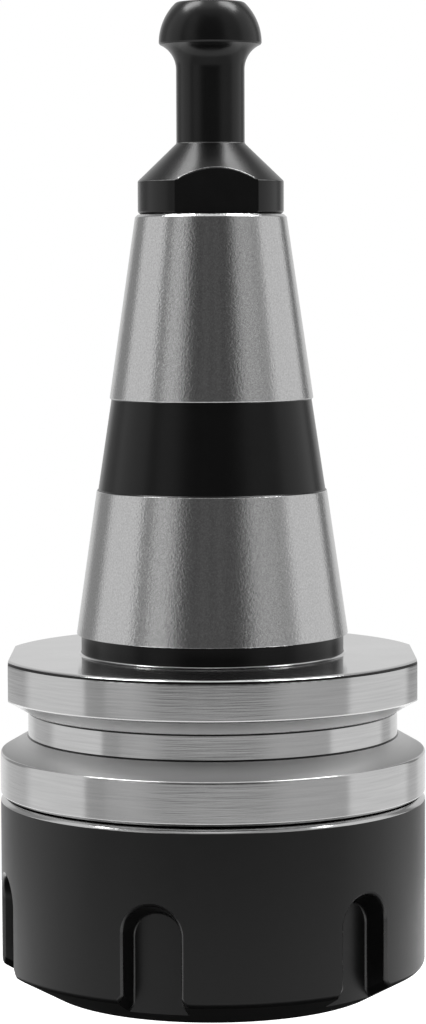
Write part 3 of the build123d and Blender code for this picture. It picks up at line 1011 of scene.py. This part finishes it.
def make_surround():
    """World that is white to the camera, softboxes and flags to gloss, and even to the rest."""
    world = bpy.data.worlds.new("studio_surround")
    bpy.context.scene.world = world
    world.use_nodes = True
    tree = world.node_tree
    tree.nodes.clear()
    output = tree.nodes.new("ShaderNodeOutputWorld")
    background = tree.nodes.new("ShaderNodeBackground")
    place = tree.nodes.new("ShaderNodeTexCoord")
    split = tree.nodes.new("ShaderNodeSeparateXYZ")
    path = tree.nodes.new("ShaderNodeLightPath")
    tree.links.new(place.outputs["Generated"], split.inputs["Vector"])
    toward = math_node(tree, "MULTIPLY", split.outputs["Y"], -1.0)
    aside = math_node(tree, "ABSOLUTE", split.outputs["X"])
    angle = math_node(tree, "DIVIDE", math_node(tree, "ARCTAN2", aside, toward), math.pi)
    is_right = math_node(tree, "GREATER_THAN", split.outputs["X"], 0.0)
    walls = mix_grey(
        tree, is_right, brightness_ramp(tree, angle, SURROUND_LEFT),
        brightness_ramp(tree, angle, SURROUND_RIGHT),
    )
    table = mix_grey(
        tree, is_right, brightness_ramp(tree, angle, TABLE_LEFT),
        brightness_ramp(tree, angle, TABLE_RIGHT),
    )
    walls = rippled(tree, walls, angle, split.outputs["Z"])
    sides = mix_grey(tree, step_between(tree, split.outputs["Z"], TABLE_EDGE), table, walls)
    overhead = math_node(tree, "GREATER_THAN", split.outputs["Z"], FLAG_TOP)
    above = mix_grey(tree, step_between(tree, split.outputs["Z"], CROWN_EDGE), ZENITH, CROWN_LIGHT)
    gloss = mix_grey(tree, overhead, sides, above)
    seen = mix_grey(tree, path.outputs["Is Glossy Ray"], SURROUND_LIGHT, gloss)
    shown = mix_grey(tree, path.outputs["Is Camera Ray"], seen, WHITE)
    tree.links.new(shown, background.inputs["Color"])
    tree.links.new(background.outputs["Background"], output.inputs["Surface"])


def make_floor():
    """Round pale table top just below the unscrewed nut.

    It is white to the camera apart from its shadow, bright to gloss but for a disc of painted
    shade under the nut, and clear from below.
    """
    bm = bmesh.new()
    level = Matrix.Translation((0, 0, FLOOR_LEVEL))
    bmesh.ops.create_circle(
        bm, cap_ends=True, segments=FLOOR_STEPS, radius=FLOOR_RADIUS, matrix=level,
    )
    material = bpy.data.materials.new("pale_table")
    material.use_nodes = True
    tree = material.node_tree
    tree.nodes.clear()
    output = tree.nodes.new("ShaderNodeOutputMaterial")
    both = tree.nodes.new("ShaderNodeAddShader")
    diffuse = tree.nodes.new("ShaderNodeBsdfDiffuse")
    lift = tree.nodes.new("ShaderNodeEmission")
    path = tree.nodes.new("ShaderNodeLightPath")
    # Painted shade: a dark disc under the nut in the floor's colour and glow, for all but camera
    # rays
    clear = share_outwards(tree, *FLOOR_SHADE, least=FLOOR_SHADE_LEAST)
    open_to_light = math_node(tree, "MAXIMUM", path.outputs["Is Camera Ray"], clear)
    tree.links.new(mix_grey(tree, open_to_light, 0.0, FLOOR_GREY), diffuse.inputs["Color"])
    to_camera = math_node(tree, "MULTIPLY", path.outputs["Is Camera Ray"], FLOOR_CAMERA_LIFT)
    to_gloss = math_node(tree, "MULTIPLY", path.outputs["Is Glossy Ray"], clear)
    gloss_lift = math_node(tree, "MULTIPLY", to_gloss, FLOOR_GLOSS_LIFT)
    glow = math_node(tree, "ADD", to_camera, gloss_lift)
    tree.links.new(glow, lift.inputs["Strength"])
    tree.links.new(diffuse.outputs["BSDF"], both.inputs[0])
    tree.links.new(lift.outputs["Emission"], both.inputs[1])
    side = tree.nodes.new("ShaderNodeNewGeometry")
    see_through = tree.nodes.new("ShaderNodeBsdfTransparent")
    choice = tree.nodes.new("ShaderNodeMixShader")
    tree.links.new(side.outputs["Backfacing"], choice.inputs["Fac"])
    tree.links.new(both.outputs["Shader"], choice.inputs[1])
    tree.links.new(see_through.outputs["BSDF"], choice.inputs[2])
    tree.links.new(choice.outputs["Shader"], output.inputs["Surface"])
    new_piece("floor", bm, material)


def make_overhead_softbox(side):
    """One soft lamp above the holder, left or right of it."""
    lamp = bpy.data.lights.new("overhead_softbox", "AREA")
    lamp.shape = "RECTANGLE"
    lamp.size, lamp.size_y = LAMP_SIZE
    lamp.energy = LAMP_POWER
    softbox = bpy.data.objects.new("overhead_softbox", lamp)
    softbox.location = (side * LAMP_SIDE, LAMP_BACK, LAMP_HEIGHT)
    softbox.rotation_euler = Vector(softbox.location).to_track_quat("Z", "Y").to_euler()
    bpy.context.scene.collection.objects.link(softbox)


make_surround()
make_floor()
for side in (-1, 1):
    make_overhead_softbox(side)


# Camera: fitted to the edges of the flange, the nut and the taper in the photograph
IMAGE_WIDTH = 426
IMAGE_HEIGHT = 1024
FOCAL_PIXELS = 3177.6
SENSOR = 36.0
CAMERA_DISTANCE = 371.5
CAMERA_HEIGHT = 44.36
CAMERA_PITCH = 4.71
CAMERA_ROLL = 0.217
AXIS_COLUMN = 211.95
NEAREST_SEEN = 0.01


def make_camera():
    """Camera at the photograph's height, distance and pitch."""
    data = bpy.data.cameras.new("camera")
    data.sensor_fit = "AUTO"
    data.sensor_width = SENSOR
    data.lens = FOCAL_PIXELS * SENSOR / IMAGE_HEIGHT
    data.shift_x = (IMAGE_WIDTH / 2 - AXIS_COLUMN) / IMAGE_HEIGHT
    data.clip_start = NEAREST_SEEN
    camera = bpy.data.objects.new("camera", data)
    camera.location = (0, -CAMERA_DISTANCE * MM, CAMERA_HEIGHT * MM)
    look = Euler((math.radians(90 - CAMERA_PITCH), 0, 0)).to_matrix()
    roll = Matrix.Rotation(math.radians(-CAMERA_ROLL), 3, "Z")
    camera.rotation_euler = (look @ roll).to_euler()
    bpy.context.scene.collection.objects.link(camera)
    bpy.context.scene.camera = camera


make_camera()

scene = bpy.context.scene
scene.view_settings.view_transform = "Standard"
